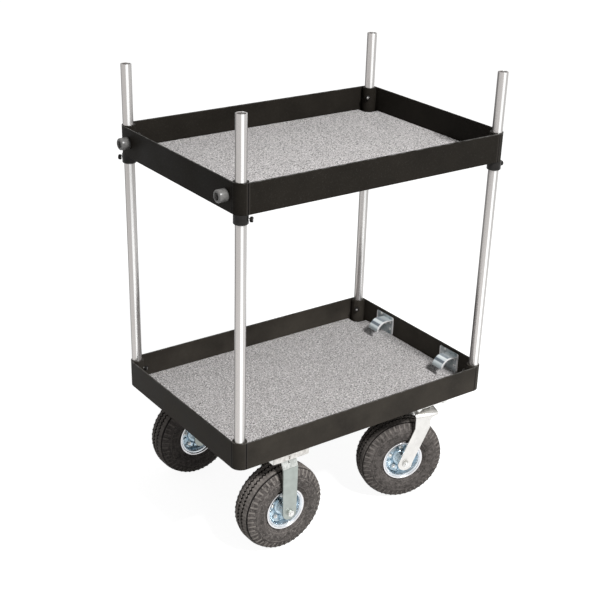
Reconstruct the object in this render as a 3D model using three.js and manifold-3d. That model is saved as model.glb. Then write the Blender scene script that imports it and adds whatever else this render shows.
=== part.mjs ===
// Camera cart: two lined metal trays on four tube posts, on four air-tyred casters.
// Millimetres, Z up. The origin is on the floor under the middle of the trays.
// X runs along the cart, the fixed casters are at -X and the swivelling ones at +X.

import * as THREE from 'three';
import { mergeVertices } from 'three/addons/utils/BufferGeometryUtils.js';
import Module from 'manifold-3d';

const wasm = await Module();
wasm.setup();

// Driving sizes
const AIR = 0.3;                  // clearance between pieces that touch
const TRAY_LENGTH = 850;
const TRAY_WIDTH = 588;
const TRAY_DEPTH = 78;
const SHEET = 3;                  // tray metal
const LOWER_TRAY_Z = 318;         // underside of each tray
const UPPER_TRAY_Z = 1012;
const CARPET = 6;
const TRAY_CORNER = 28;           // outer corner radius of the trays
const POST_INSET = 20;            // post axis from the outer faces of the tray
const POST_RADIUS = 14.3;         // one-and-an-eighth-inch tube
const POST_WALL = 3;
const POST_TOP = 1250;
const SOCKET_RADIUS = 19.5;       // corner tube that holds the post
const COLLAR_RADIUS = 19;
const COLLAR_HEIGHT = 25;
const SCREW_RADIUS = 3;           // thumb screws and bumper screws
const TYRE_RADIUS = 127;          // ten-inch tyre
const TYRE_HALF_WIDTH = 43.5;
const BEAD_RADIUS = 51;           // four-inch wheel
const FLANGE_RADIUS = 61.5;
const FLANGE_OFFSET = 36;
const CASTER_X = 250;             // plate centres
const CASTER_Y = 231;
const PLATE_LENGTH = 112;         // caster plate along X
const PLATE_WIDTH = 114;
const PLATE = 6;
const LEG_INNER = 50;             // fork leg faces from the wheel's middle plane
const LEG = 5;
const LEG_WIDTH = 48;
const TRAIL = 60;                 // from the swivel pin back to the axle
const SWIVEL_TURN = THREE.MathUtils.degToRad(-18);

const POST_X = TRAY_LENGTH / 2 - POST_INSET;
const POST_Y = TRAY_WIDTH / 2 - POST_INSET;
const BORE_RADIUS = POST_RADIUS + AIR;
const AXLE_RADIUS = 6;
const HUB_RADIUS = 16;
const LEG_OUTER = LEG_INNER + LEG;
const PLATE_TOP = LOWER_TRAY_Z - AIR;

// The four corners, as signs of X and Y
const CORNERS = [
  { name: 'front_left', x: -1, y: -1 },
  { name: 'rear_left', x: -1, y: 1 },
  { name: 'front_right', x: 1, y: -1 },
  { name: 'rear_right', x: 1, y: 1 },
];

// Materials
function material(color, roughness, metalness) {
  return new THREE.MeshStandardMaterial({ color, roughness, metalness });
}

const BLACK_PAINT = material(0x26231f, 0.55, 0.2);
const GREY_CARPET = material(0xb0acaa, 0.95, 0);
const ALUMINIUM = material(0xd0d2d4, 0.35, 1);
const BLACK_STEEL = material(0x1b1b1c, 0.45, 0.6);
const RUBBER = material(0x4a4745, 0.9, 0);
const BUMPER_RUBBER = material(0x5a5b5c, 0.7, 0);
const ZINC = material(0xc9cfcd, 0.35, 0.9);
const STEEL = material(0xb4b6b8, 0.3, 1);

// Solid helpers
function solidFrom(geometry) {
  const bare = geometry.index ? geometry.toNonIndexed() : geometry.clone();
  bare.deleteAttribute('normal');
  bare.deleteAttribute('uv');
  const merged = mergeVertices(bare, 1e-4);
  return new wasm.Manifold(new wasm.Mesh({
    numProp: 3,
    vertProperties: new Float32Array(merged.attributes.position.array),
    triVerts: new Uint32Array(merged.index.array),
  }));
}

function geometryFrom(solid) {
  const mesh = solid.getMesh();
  const geometry = new THREE.BufferGeometry();
  geometry.setAttribute('position', new THREE.BufferAttribute(mesh.vertProperties, 3));
  geometry.setIndex(new THREE.BufferAttribute(mesh.triVerts, 1));
  geometry.computeVertexNormals();
  return geometry;
}

function piece(name, geometry, look) {
  const mesh = new THREE.Mesh(geometry, look);
  mesh.name = name;
  return mesh;
}

// Flat shape pushed up along Z
function prism(shape, height, curveSegments = 6) {
  return new THREE.ExtrudeGeometry(shape, { depth: height, bevelEnabled: false, curveSegments });
}

// Flat shape drawn in X and Z, pushed through Y from front to back
function sidePrism(shape, front, back, curveSegments = 6) {
  const geometry = prism(shape, back - front, curveSegments);
  geometry.rotateX(Math.PI / 2);
  geometry.translate(0, back, 0);
  return geometry;
}

// Flat shape drawn in Y and Z, pushed through X
function endPrism(shape, left, right, curveSegments = 6) {
  const geometry = prism(shape, right - left, curveSegments);
  geometry.rotateX(Math.PI / 2);
  geometry.rotateZ(Math.PI / 2);
  geometry.translate(left, 0, 0);
  return geometry;
}

// Turned solid about Z from [radius, height] pairs, outer side upwards
function turned(profile, segments) {
  const points = profile.map(([radius, height]) => new THREE.Vector2(radius, height));
  const geometry = new THREE.LatheGeometry(points, segments);
  geometry.rotateX(Math.PI / 2);
  return geometry;
}

function disc(radius, from, to, segments) {
  return turned([[0, from], [radius, from], [radius, to], [0, to]], segments);
}

function roundedRectangle(length, width, radius) {
  const x = length / 2;
  const y = width / 2;
  const shape = new THREE.Shape();
  shape.moveTo(x, radius - y);
  shape.absarc(x - radius, y - radius, radius, 0, Math.PI / 2);
  shape.absarc(radius - x, y - radius, radius, Math.PI / 2, Math.PI);
  shape.absarc(radius - x, radius - y, radius, Math.PI, Math.PI * 1.5);
  shape.absarc(x - radius, radius - y, radius, Math.PI * 1.5, Math.PI * 2);
  return shape;
}

// Closed outline whose corners are rounded off, "reach" along each side
function softened(points, reach) {
  const shape = new THREE.Shape();
  points.forEach(([x, y], index) => {
    const corner = new THREE.Vector2(x, y);
    const before = new THREE.Vector2(...points.at(index - 1));
    const after = new THREE.Vector2(...points[(index + 1) % points.length]);
    const enter = before.sub(corner).setLength(reach).add(corner);
    const leave = after.sub(corner).setLength(reach).add(corner);
    if (index === 0) {
      shape.moveTo(enter.x, enter.y);
    } else {
      shape.lineTo(enter.x, enter.y);
    }
    shape.quadraticCurveTo(corner.x, corner.y, leave.x, leave.y);
  });
  return shape;
}

function joined(solids) {
  return solids.reduce((sum, solid) => sum.add(solid));
}

function cutBy(body, tools) {
  return tools.reduce((rest, tool) => rest.subtract(tool), body);
}

// Thumb screws
const SCREW_HEAD_RADIUS = 7;
const SCREW_HEAD = 8;
const SCREW_NECK = 3;             // bare shank between the metal and the head
const SOCKET_SCREW_RISE = 52;     // above the underside of the tray

// Screw along +X whose tip starts at the post; "reach" is where the holding metal ends
function thumbScrew(reach) {
  const tip = POST_RADIUS + AIR;
  const neck = reach + SCREW_NECK;
  const end = neck + SCREW_HEAD;
  const geometry = turned([
    [0, tip],
    [SCREW_RADIUS, tip],
    [SCREW_RADIUS, neck],
    [SCREW_HEAD_RADIUS, neck],
    [SCREW_HEAD_RADIUS, end - 2],
    [SCREW_HEAD_RADIUS - 2, end],
    [0, end],
  ], 10);
  geometry.rotateY(Math.PI / 2);
  return geometry;
}

// Radial tapped hole along an angle about Z
function screwHole(reach, height, angle) {
  const hole = disc(SCREW_RADIUS + AIR, 2, reach + 2, 8);
  hole.rotateY(Math.PI / 2);
  hole.rotateZ(angle);
  hole.translate(0, 0, height);
  return hole;
}

function inwardAngle(corner) {
  return Math.atan2(-corner.y, -corner.x);
}

// Trays: folded sheet with a round socket tube welded into each corner
const BUMPER_Y = 240;
const BUMPER_RISE = 39;

function tray(boreStart, extraCuts) {
  const outside = solidFrom(prism(roundedRectangle(TRAY_LENGTH, TRAY_WIDTH, TRAY_CORNER), TRAY_DEPTH));
  const inside = prism(
    roundedRectangle(TRAY_LENGTH - 2 * SHEET, TRAY_WIDTH - 2 * SHEET, TRAY_CORNER - SHEET),
    TRAY_DEPTH,
  );
  inside.translate(0, 0, SHEET);
  const shell = outside.subtract(solidFrom(inside));

  const sockets = [];
  const bores = [];
  for (const corner of CORNERS) {
    const x = corner.x * POST_X;
    const y = corner.y * POST_Y;
    // The tube is trimmed where it would stand out of the tray's rounded corner
    const socket = disc(SOCKET_RADIUS, 1, TRAY_DEPTH, 20);
    socket.translate(x, y, 0);
    sockets.push(solidFrom(socket).intersect(outside));
    const bore = disc(BORE_RADIUS, boreStart, TRAY_DEPTH + 1, 20);
    bore.translate(x, y, 0);
    bores.push(solidFrom(bore));
    const hole = screwHole(SOCKET_RADIUS, SOCKET_SCREW_RISE, inwardAngle(corner));
    hole.translate(x, y, 0);
    bores.push(solidFrom(hole));
  }
  return cutBy(joined([shell, ...sockets]), [...bores, ...extraCuts]);
}

function bumperHole(y) {
  const hole = disc(SCREW_RADIUS + AIR, -2, SHEET + 2, 8);
  hole.rotateY(Math.PI / 2);
  hole.translate(-TRAY_LENGTH / 2, y, BUMPER_RISE);
  return solidFrom(hole);
}

// Carpet lining with a notched, clipped corner round each socket
function carpet() {
  const x = TRAY_LENGTH / 2 - SHEET - 1;
  const y = TRAY_WIDTH / 2 - SHEET - 1;
  const notch = 42;
  const clip = 12;
  const corner = [
    [x, y - notch],
    [x - notch + clip, y - notch],
    [x - notch, y - notch + clip],
    [x - notch, y],
  ];
  const outline = [
    ...corner,
    ...corner.map(([a, b]) => [-a, b]).reverse(),
    ...corner.map(([a, b]) => [-a, -b]),
    ...corner.map(([a, b]) => [a, -b]).reverse(),
  ];
  return prism(new THREE.Shape(outline.map(([a, b]) => new THREE.Vector2(a, b))), CARPET);
}

// Posts: open-ended tube standing in the sockets
function post() {
  const bottom = LOWER_TRAY_Z + SHEET + AIR;
  const bore = POST_RADIUS - POST_WALL;
  return turned([
    [bore, bottom],
    [POST_RADIUS, bottom],
    [POST_RADIUS, POST_TOP - 1],
    [POST_RADIUS - 0.8, POST_TOP],
    [bore, POST_TOP],
    [bore, bottom],
  ], 20);
}

// Shaft collars that carry the upper tray
const COLLAR_TOP = UPPER_TRAY_Z - AIR;
const COLLAR_SCREW_ANGLES = {
  front_left: -Math.PI / 4,
  rear_left: Math.PI * 0.75,
  front_right: 0,
  rear_right: Math.PI / 2,
};

function collar(angle) {
  const chamfer = 2;
  const ring = solidFrom(turned([
    [BORE_RADIUS, 0],
    [COLLAR_RADIUS - chamfer, 0],
    [COLLAR_RADIUS, chamfer],
    [COLLAR_RADIUS, COLLAR_HEIGHT],
    [BORE_RADIUS, COLLAR_HEIGHT],
    [BORE_RADIUS, 0],
  ], 20));
  return ring.subtract(solidFrom(screwHole(COLLAR_RADIUS, COLLAR_HEIGHT / 2, angle)));
}

// Rubber bumpers on the end wall, each held by a screw sunk in its middle
const BUMPER_RADIUS = 16;
const BUMPER_LENGTH = 26;
const BUMPER_SEAT = 14;           // depth at which the screw head bears

function facingMinusX(geometry, y, z) {
  geometry.rotateY(-Math.PI / 2);
  geometry.translate(-TRAY_LENGTH / 2 - AIR, y, z);
  return geometry;
}

function bumper() {
  const hole = SCREW_RADIUS + AIR;
  const recess = 9.5;
  return turned([
    [hole, 0],
    [BUMPER_RADIUS, 0],
    [BUMPER_RADIUS, BUMPER_LENGTH - 3],
    [BUMPER_RADIUS - 3, BUMPER_LENGTH],
    [recess, BUMPER_LENGTH],
    [recess, BUMPER_SEAT],
    [hole, BUMPER_SEAT],
    [hole, 0],
  ], 20);
}

function bumperScrew() {
  const wallInside = -SHEET - 2 * AIR;
  const head = BUMPER_SEAT + AIR;
  const nut = disc(5.5, wallInside - 5, wallInside, 6);
  const shank = turned([
    [0, wallInside - 6],
    [SCREW_RADIUS, wallInside - 6],
    [SCREW_RADIUS, head],
    [6.5, head],
    [6.5, head + 2.5],
    [4, head + 4],
    [0, head + 4],
  ], 10);
  return solidFrom(nut).add(solidFrom(shank));
}

// Zinc hooded brackets on the inner face of the +X end wall of the lower tray
const BRACKET_Y = 152;
const BRACKET_WIDTH = 80;
const BRACKET_HEIGHT = 59;
const BRACKET_SHEET = 3;
const HOOD_WIDTH = 43;

function bracket() {
  const thick = BRACKET_SHEET;
  const reach = 65;
  const crown = 54;
  const bend = 34;
  const lip = THREE.MathUtils.degToRad(170);
  const centreX = bend - reach;
  const centreZ = crown - bend;
  const strip = new THREE.Shape();
  strip.moveTo(1 - thick, crown);
  strip.absarc(centreX, centreZ, bend, Math.PI / 2, lip);
  strip.absarc(centreX, centreZ, bend - thick, lip, Math.PI / 2, true);
  strip.lineTo(1 - thick, crown - thick);
  strip.closePath();
  const front = -BRACKET_WIDTH / 2;
  const hood = sidePrism(strip, front, front + HOOD_WIDTH, 8);
  const plateShape = roundedRectangle(BRACKET_WIDTH, BRACKET_HEIGHT, 4);
  const plate = endPrism(plateShape, -thick, 0, 2);
  plate.translate(0, 0, BRACKET_HEIGHT / 2);
  return solidFrom(plate).add(solidFrom(hood));
}

// Caster top plates and their four bolt holes
const BOLT_X = 46;
const BOLT_Y = 44;

function boltHoles() {
  const holes = [];
  for (const x of [-BOLT_X, BOLT_X]) {
    for (const y of [-BOLT_Y, BOLT_Y]) {
      const hole = disc(5.5, PLATE_TOP - 20, PLATE_TOP + 1, 8);
      hole.translate(x, y, 0);
      holes.push(solidFrom(hole));
    }
  }
  return holes;
}

// Bent sheet seen from the end: flat crown, two bends, two straight legs
function forkSection(crownTop, legBottom, outerBend) {
  const innerBend = outerBend - LEG;
  const shape = new THREE.Shape();
  shape.moveTo(LEG_OUTER, legBottom);
  shape.lineTo(LEG_OUTER, crownTop - outerBend);
  shape.absarc(LEG_OUTER - outerBend, crownTop - outerBend, outerBend, 0, Math.PI / 2);
  shape.lineTo(outerBend - LEG_OUTER, crownTop);
  shape.absarc(outerBend - LEG_OUTER, crownTop - outerBend, outerBend, Math.PI / 2, Math.PI);
  shape.lineTo(-LEG_OUTER, legBottom);
  shape.lineTo(-LEG_INNER, legBottom);
  shape.lineTo(-LEG_INNER, crownTop - outerBend);
  shape.absarc(innerBend - LEG_INNER, crownTop - outerBend, innerBend, Math.PI, Math.PI / 2, true);
  shape.lineTo(LEG_INNER - innerBend, crownTop - LEG);
  shape.absarc(LEG_INNER - innerBend, crownTop - outerBend, innerBend, Math.PI / 2, 0, true);
  shape.lineTo(LEG_INNER, legBottom);
  shape.closePath();
  return shape;
}

function axleHole(x) {
  const hole = disc(AXLE_RADIUS + AIR, -100, 100, 12);
  hole.rotateX(Math.PI / 2);
  hole.translate(x, 0, TYRE_RADIUS);
  return solidFrom(hole);
}

// Fixed caster: the side view cuts the bent sheet to its stamped outline
const LEG_END = 22;               // radius of the leg's rounded end
const SHOULDER_Z = 268;           // where the legs start to lean in
const SHOULDER_LEAN = Math.atan2(12, 28);
const FLANGE_BOTTOM = 296;        // turned-down edges of the plate
const BEND_REACH = 2.4;

// Sheet bent twice on each side: straight leg, leaning shoulder, flat crown
function shoulderedSection(crownTop, legBottom) {
  const crown = LEG_OUTER - (crownTop - SHOULDER_Z) * Math.tan(SHOULDER_LEAN);
  const innerZ = SHOULDER_Z - LEG * Math.tan(SHOULDER_LEAN / 2);
  const innerCrown = crown - LEG * Math.tan(Math.PI / 4 - SHOULDER_LEAN / 2);
  const half = [
    [innerCrown, crownTop - LEG],
    [LEG_INNER, innerZ],
    [LEG_INNER, legBottom],
    [LEG_OUTER, legBottom],
    [LEG_OUTER, SHOULDER_Z],
    [crown, crownTop],
  ];
  return softened([...half, ...half.map(([y, z]) => [-y, z]).reverse()], BEND_REACH);
}

// Plate with its front and rear edges turned down
function flangedPlate() {
  const outer = PLATE_WIDTH / 2;
  const half = [
    [outer - LEG, PLATE_TOP - PLATE],
    [outer - LEG, FLANGE_BOTTOM],
    [outer, FLANGE_BOTTOM],
    [outer, PLATE_TOP],
  ];
  const section = softened([...half, ...half.map(([y, z]) => [-y, z]).reverse()], BEND_REACH);
  return solidFrom(endPrism(section, -PLATE_LENGTH / 2, PLATE_LENGTH / 2, 3));
}

function fixedFork() {
  const crownTop = PLATE_TOP - PLATE + 1;
  const leg = LEG_WIDTH / 2;
  const crown = 34;
  const side = new THREE.Shape();
  side.moveTo(-LEG_END, TYRE_RADIUS);
  side.absarc(0, TYRE_RADIUS, LEG_END, Math.PI, Math.PI * 2);
  side.lineTo(leg, crownTop - 24);
  side.quadraticCurveTo(leg + 1, crownTop - 8, crown, crownTop - 4);
  side.lineTo(crown, crownTop + 1);
  side.lineTo(-crown, crownTop + 1);
  side.lineTo(-crown, crownTop - 4);
  side.quadraticCurveTo(-leg - 1, crownTop - 8, -leg, crownTop - 24);
  side.closePath();
  const sheet = solidFrom(endPrism(shoulderedSection(crownTop, 80), -60, 60, 3));
  const cut = solidFrom(sidePrism(side, -80, 80));
  const fork = joined([sheet.intersect(cut), flangedPlate()]);
  return cutBy(fork, [...boltHoles(), axleHole(0)]);
}

// Swivel caster: plate with the upper race, ball ring, pin and trailing fork
const UPPER_RACE_Z = 296.6;
const FORK_TOP = 286;
const RACE_RADIUS = 34;
const BALL_CIRCLE = 27;           // radius of the ring of balls
const PIN_RADIUS = 8;

function swivelPlate() {
  const slab = prism(roundedRectangle(PLATE_LENGTH, PLATE_WIDTH, 8), PLATE, 3);
  slab.translate(0, 0, PLATE_TOP - PLATE);
  const race = solidFrom(turned([
    [0, UPPER_RACE_Z],
    [RACE_RADIUS - 4, UPPER_RACE_Z],
    [RACE_RADIUS, UPPER_RACE_Z + 5],
    [RACE_RADIUS, PLATE_TOP - PLATE + 1],
    [0, PLATE_TOP - PLATE + 1],
  ], 20));
  const pinHole = solidFrom(disc(PIN_RADIUS, UPPER_RACE_Z - 1, PLATE_TOP - PLATE, 12));
  return cutBy(joined([solidFrom(slab), race]), [...boltHoles(), pinHole]);
}

function ballRing() {
  const bottom = FORK_TOP + AIR;
  const top = UPPER_RACE_Z - AIR;
  const middle = (bottom + top) / 2;
  const ball = (top - bottom) / 2;
  return turned([
    [BALL_CIRCLE - ball, middle],
    [BALL_CIRCLE, bottom],
    [BALL_CIRCLE + ball, middle],
    [BALL_CIRCLE, top],
    [BALL_CIRCLE - ball, middle],
  ], 16);
}

function swivelPin() {
  const headTop = FORK_TOP - LEG - AIR;
  const head = disc(13, headTop - 9, headTop, 6);
  const shank = disc(PIN_RADIUS - AIR, headTop - 12, PLATE_TOP - PLATE - AIR, 12);
  return solidFrom(head).add(solidFrom(shank));
}

function swivelFork() {
  const knee = 240;
  const legFront = 9;
  const legBack = legFront - LEG_WIDTH + 3;
  const crownFront = 34;
  const crownBack = legBack;
  const side = new THREE.Shape();
  side.moveTo(-TRAIL - LEG_END, TYRE_RADIUS);
  side.absarc(-TRAIL, TYRE_RADIUS, LEG_END, Math.PI, Math.PI * 2);
  side.lineTo(legFront, knee);
  side.lineTo(legFront, FORK_TOP - 24);
  side.quadraticCurveTo(legFront + 3, FORK_TOP - 10, crownFront, FORK_TOP - 8);
  side.lineTo(crownFront, FORK_TOP + 1);
  side.lineTo(crownBack, FORK_TOP + 1);
  side.lineTo(legBack, knee);
  side.closePath();
  const sheet = solidFrom(endPrism(forkSection(FORK_TOP, 80, 16), -100, 60, 4));
  const fork = sheet.intersect(solidFrom(sidePrism(side, -80, 80)));
  const pinHole = solidFrom(disc(PIN_RADIUS, FORK_TOP - 20, FORK_TOP + 5, 12));
  return cutBy(fork, [pinHole, axleHole(-TRAIL)]);
}

// Wheel parts, turned about Z here and then laid on their side along Y
const WHEEL_SEGMENTS = 24;

function laidAlongY(geometry) {
  // Half a step of turn puts a flat facet on the floor
  geometry.rotateZ(Math.PI / WHEEL_SEGMENTS);
  geometry.rotateX(-Math.PI / 2);
  return geometry;
}

// Closes a wheel profile from its +Y half; both lists start at the middle plane
function mirrored(outerHalf, innerHalf) {
  const flip = ([radius, y]) => [radius, -y];
  const loop = [
    ...[...outerHalf].reverse().map(flip),
    ...outerHalf,
    ...[...innerHalf].reverse(),
    ...innerHalf.map(flip),
  ];
  return [...loop, loop[0]];
}

function tyre() {
  const stretch = 1 / Math.cos(Math.PI / WHEEL_SEGMENTS);
  const seat = BEAD_RADIUS + AIR;
  const bead = FLANGE_OFFSET - 2.5 - AIR;
  const outer = [
    [TYRE_RADIUS * stretch, 12],
    [120, 30],
    [102, 41],
    [84, TYRE_HALF_WIDTH],
    [FLANGE_RADIUS + 1.5, bead],
    [seat, bead],
    [seat, 26],
  ];
  const inner = [
    [117, 14],
    [96, 35],
    [60, 26],
  ];
  return laidAlongY(turned(mirrored(outer, inner), WHEEL_SEGMENTS));
}

// Two stamped half rims back to back: hub dish, flat web, deep well, rolled flange
function rim() {
  const outer = [
    [BEAD_RADIUS, FLANGE_OFFSET - 2.5],
    [FLANGE_RADIUS, FLANGE_OFFSET - 2.5],
    [FLANGE_RADIUS, FLANGE_OFFSET + 1.5],
  ];
  const inner = [
    [HUB_RADIUS + AIR, 13],
    [24, 13],
    [30, 3.5],
    [BEAD_RADIUS - 5, 3.5],
    [BEAD_RADIUS - 2, FLANGE_OFFSET],
    [FLANGE_RADIUS - 2.5, FLANGE_OFFSET + 1.5],
  ];
  return laidAlongY(turned(mirrored(outer, inner), WHEEL_SEGMENTS));
}

function hub() {
  const end = LEG_INNER - AIR;
  const bore = AXLE_RADIUS + AIR;
  return laidAlongY(turned([
    [bore, -end],
    [HUB_RADIUS, -end],
    [HUB_RADIUS, end],
    [bore, end],
    [bore, -end],
  ], 16));
}

function axle() {
  const face = LEG_OUTER + AIR;
  const shank = disc(AXLE_RADIUS, -face - 6, face + 11, 12);
  const head = disc(10, -face - 7, -face, 6);
  const nut = disc(10, face, face + 8, 6);
  return geometryFrom(joined([shank, head, nut].map(solidFrom))).rotateX(Math.PI / 2);
}

function wheel(name) {
  const group = new THREE.Group();
  group.add(piece(`tyre_${name}`, tyre(), RUBBER));
  group.add(piece(`rim_${name}`, rim(), ZINC));
  group.add(piece(`hub_${name}`, hub(), ZINC));
  return group;
}

// Assembly
const cart = new THREE.Group();
cart.name = 'camera_cart';

const lowerTray = piece('lower_tray', geometryFrom(tray(SHEET, [])), BLACK_PAINT);
lowerTray.position.z = LOWER_TRAY_Z;
const upperTray = piece(
  'upper_tray',
  geometryFrom(tray(-1, [bumperHole(-BUMPER_Y), bumperHole(BUMPER_Y)])),
  BLACK_PAINT,
);
upperTray.position.z = UPPER_TRAY_Z;
cart.add(lowerTray, upperTray);

for (const [name, z] of [['lower', LOWER_TRAY_Z], ['upper', UPPER_TRAY_Z]]) {
  const lining = piece(`${name}_carpet`, carpet(), GREY_CARPET);
  lining.position.z = z + SHEET + AIR;
  cart.add(lining);
  for (const corner of CORNERS) {
    const screw = piece(`${name}_socket_screw_${corner.name}`, thumbScrew(SOCKET_RADIUS), BLACK_STEEL);
    screw.position.set(corner.x * POST_X, corner.y * POST_Y, z + SOCKET_SCREW_RISE);
    screw.rotation.z = inwardAngle(corner);
    cart.add(screw);
  }
}

for (const corner of CORNERS) {
  const stand = new THREE.Group();
  stand.position.set(corner.x * POST_X, corner.y * POST_Y, 0);
  stand.add(piece(`post_${corner.name}`, post(), ALUMINIUM));
  const angle = COLLAR_SCREW_ANGLES[corner.name];
  const ring = piece(`collar_${corner.name}`, geometryFrom(collar(angle)), BLACK_STEEL);
  ring.position.z = COLLAR_TOP - COLLAR_HEIGHT;
  const screw = piece(`collar_screw_${corner.name}`, thumbScrew(COLLAR_RADIUS), BLACK_STEEL);
  screw.position.z = COLLAR_TOP - COLLAR_HEIGHT / 2;
  screw.rotation.z = angle;
  stand.add(ring, screw);
  cart.add(stand);
}

for (const [name, side] of [['front', -1], ['rear', 1]]) {
  const y = side * BUMPER_Y;
  const z = UPPER_TRAY_Z + BUMPER_RISE;
  cart.add(piece(`bumper_${name}`, facingMinusX(bumper(), y, z), BUMPER_RUBBER));
  const screw = facingMinusX(geometryFrom(bumperScrew()), y, z);
  cart.add(piece(`bumper_screw_${name}`, screw, STEEL));

  const holder = piece(`bracket_${name}`, geometryFrom(bracket()), ZINC);
  holder.position.set(
    TRAY_LENGTH / 2 - SHEET - AIR,
    side * BRACKET_Y,
    LOWER_TRAY_Z + SHEET + CARPET + 2 * AIR,
  );
  cart.add(holder);
}

for (const [name, side] of [['front', -1], ['rear', 1]]) {
  const fixed = new THREE.Group();
  fixed.position.set(-CASTER_X, side * CASTER_Y, 0);
  fixed.add(piece(`fixed_fork_${name}`, geometryFrom(fixedFork()), ZINC));
  fixed.add(piece(`axle_fixed_${name}`, axle().translate(0, 0, TYRE_RADIUS), STEEL));
  const fixedWheel = wheel(`fixed_${name}`);
  fixedWheel.position.z = TYRE_RADIUS;
  fixed.add(fixedWheel);

  const mountPoint = new THREE.Group();
  mountPoint.position.set(CASTER_X, side * CASTER_Y, 0);
  mountPoint.add(piece(`swivel_plate_${name}`, geometryFrom(swivelPlate()), ZINC));
  mountPoint.add(piece(`swivel_bearing_${name}`, ballRing(), STEEL));
  mountPoint.add(piece(`swivel_pin_${name}`, geometryFrom(swivelPin()), STEEL));

  const turning = new THREE.Group();
  turning.rotation.z = SWIVEL_TURN;
  turning.add(piece(`swivel_fork_${name}`, geometryFrom(swivelFork()), ZINC));
  turning.add(piece(`axle_swivel_${name}`, axle().translate(-TRAIL, 0, TYRE_RADIUS), STEEL));
  const swivelWheel = wheel(`swivel_${name}`);
  swivelWheel.position.set(-TRAIL, 0, TYRE_RADIUS);
  turning.add(swivelWheel);
  mountPoint.add(turning);
  cart.add(fixed, mountPoint);
}

export default cart;
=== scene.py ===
# Camera cart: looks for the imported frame, in metres, in the frame of the solids.
# The floor is Z = 0, X runs along the cart and the bumpers are at -X.

import math

import bmesh
import bpy
from mathutils import Matrix, Vector


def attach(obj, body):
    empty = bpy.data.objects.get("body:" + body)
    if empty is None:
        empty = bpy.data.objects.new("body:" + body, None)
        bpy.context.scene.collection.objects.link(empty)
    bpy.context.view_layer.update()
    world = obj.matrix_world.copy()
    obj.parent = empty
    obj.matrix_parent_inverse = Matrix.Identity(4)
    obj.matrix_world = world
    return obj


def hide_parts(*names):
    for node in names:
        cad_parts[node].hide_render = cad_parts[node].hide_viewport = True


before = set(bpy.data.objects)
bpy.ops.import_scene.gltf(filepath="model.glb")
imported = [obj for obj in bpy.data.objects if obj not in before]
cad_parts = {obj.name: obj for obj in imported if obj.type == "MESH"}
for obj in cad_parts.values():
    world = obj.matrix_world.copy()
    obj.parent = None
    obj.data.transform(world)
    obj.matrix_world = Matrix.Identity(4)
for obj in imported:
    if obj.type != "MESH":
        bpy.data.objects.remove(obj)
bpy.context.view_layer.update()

# Sizes shared with the solids
AIR = 0.0003
TRAY_LENGTH = 0.850
TRAY_WIDTH = 0.588
TRAY_DEPTH = 0.078
SHEET = 0.003
TRAY_CORNER = 0.028
LOWER_TRAY_Z = 0.318
UPPER_TRAY_Z = 1.012
CARPET = 0.006
CARPET_LENGTH = TRAY_LENGTH - 2 * SHEET - 0.002
CARPET_WIDTH = TRAY_WIDTH - 2 * SHEET - 0.002
NOTCH = 0.042
CLIP = 0.012
POST_X = 0.405
POST_Y = 0.274
POST_RADIUS = 0.0143
POST_BORE = 0.0113
POST_TOP = 1.250
SOCKET_RADIUS = 0.0195
SOCKET_BORE = 0.0146
SOCKET_SCREW_RISE = 0.052
COLLAR_RADIUS = 0.019
COLLAR_HEIGHT = 0.025
COLLAR_TOP = UPPER_TRAY_Z - AIR
SCREW_RADIUS = 0.003
SCREW_HEAD = 0.007
BUMPER_Y = 0.240
BUMPER_Z = UPPER_TRAY_Z + 0.039
BUMPER_RADIUS = 0.016
BUMPER_LENGTH = 0.026
BRACKET_Y = 0.152
BRACKET_WIDTH = 0.080
BRACKET_Z = LOWER_TRAY_Z + SHEET + CARPET + 2 * AIR
WALL_INSIDE = TRAY_LENGTH / 2 - SHEET - AIR
CASTER_X = 0.250
CASTER_Y = 0.231
PLATE_TOP = LOWER_TRAY_Z - AIR
PLATE = 0.006
BOLT_X = 0.046
BOLT_Y = 0.044
PLATE_REACH = 0.056
PLATE_EDGE_FACE = 0.057
PLATE_EDGE_BOTTOM = 0.296
SHOULDER_START = 0.268
SHOULDER_MIDDLE = 0.0485
TRAIL = 0.060
SWIVEL_TURN = math.radians(-18)
TYRE_RADIUS = 0.127
HUB_RADIUS = 0.016
HUB_BORE = 0.0063
LEG_INNER = 0.050

# Sizes of detail that only the looks have
TYRE_STEPS = 144
GROOVE_DEPTH = 0.0050
GROOVE_WIDTH = 0.0072
GROOVES = (-0.0085, 0.0085)
ZIGZAG = 0.0026
LUG = 0.0014
KNURLS = 48
RIM_RIBS = 5
RIM_BOLT_CIRCLE = 0.034

CORNERS = {
    "front_left": (-1, -1),
    "rear_left": (-1, 1),
    "front_right": (1, -1),
    "rear_right": (1, 1),
}
SIDES = {"front": -1, "rear": 1}
COLLAR_SCREW_ANGLES = {"front_left": -45, "rear_left": 135, "front_right": 0, "rear_right": 90}

# Two places this close count as one
CLOSE = 1e-4


def near(first, second):
    return abs(first - second) < CLOSE


def angle_of(point):
    """Degrees round the Z axis, from 0 to 360."""
    return math.degrees(math.atan2(point.y, point.x)) % 360


def post_place(corner, z):
    """Where a post's axis passes a height."""
    sign_x, sign_y = CORNERS[corner]
    return sign_x * POST_X, sign_y * POST_Y, z


# Working in object and edit mode
def object_mode():
    if bpy.context.mode != "OBJECT":
        bpy.ops.object.mode_set(mode="OBJECT")


def nothing_selected():
    object_mode()
    bpy.ops.object.select_all(action="DESELECT")


def work_on(piece):
    nothing_selected()
    bpy.context.view_layer.objects.active = piece
    piece.select_set(True)


def edit(piece):
    work_on(piece)
    bpy.ops.object.mode_set(mode="EDIT")


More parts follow.
